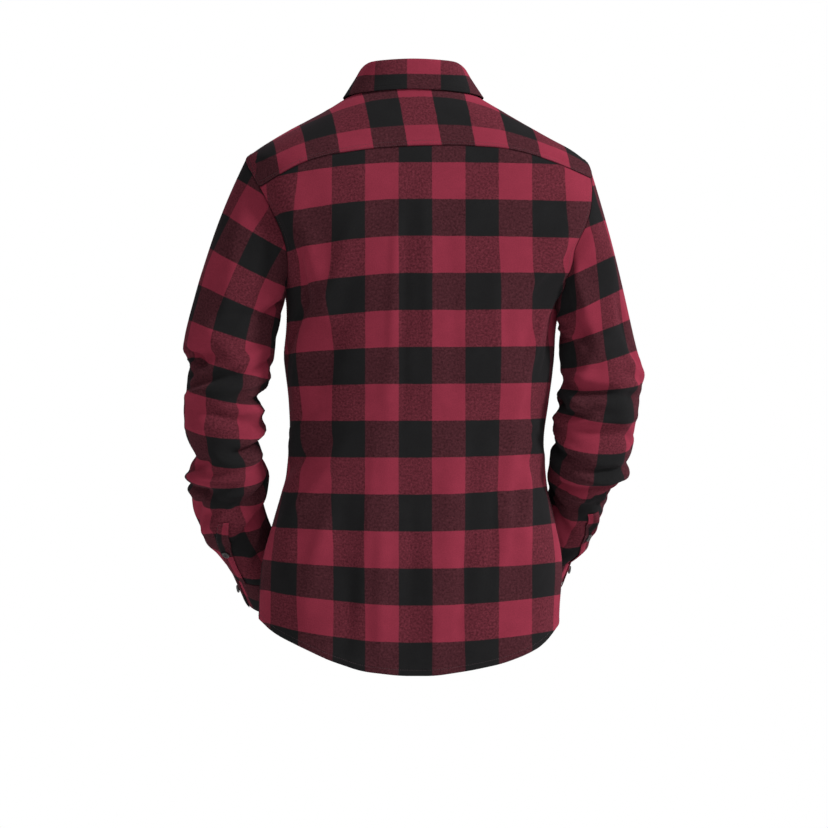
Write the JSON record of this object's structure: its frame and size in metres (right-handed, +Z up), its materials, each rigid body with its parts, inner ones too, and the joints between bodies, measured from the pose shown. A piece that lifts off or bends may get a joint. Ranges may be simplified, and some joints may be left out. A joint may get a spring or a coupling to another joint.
{
  "type": "flannel shirt",
  "caption": "Long-sleeved checked shirt in worn shape, with a yoke, a fold-over collar, a buttoned front, buttoned cuffs and a curved tail hem, open and hollow inside.",
  "frame": {"origin": "middle of the neck, level with the top of the shoulders", "axes": "+X towards the wearer's left, +Y towards the wearer's back, +Z up through the neck"},
  "size_m": [0.6305, 0.3347, 0.8417],
  "materials": {
    "check_cloth": "brushed flannel in a red and black check",
    "button": "dark, slightly glossy resin"
  },
  "bodies": {
    "root": {"back": "check_cloth", "yoke": "check_cloth", "front_left": "check_cloth", "front_right": "check_cloth", "front_placket": "check_cloth", "sleeve_left": "check_cloth", "sleeve_right": "check_cloth", "cuff_left": "check_cloth", "cuff_right": "check_cloth", "collar_stand": "check_cloth", "collar_leaf": "check_cloth", "sleeve_placket_left": "check_cloth", "sleeve_placket_right": "check_cloth", "button_front_1": "button", "button_front_2": "button", "button_front_3": "button", "button_front_4": "button", "button_front_5": "button", "button_front_6": "button", "button_front_7": "button", "button_collar": "button", "button_sleeve_left": "button", "button_sleeve_right": "button", "button_cuff_left": "button", "button_cuff_right": "button"}
  },
  "joints": []
}
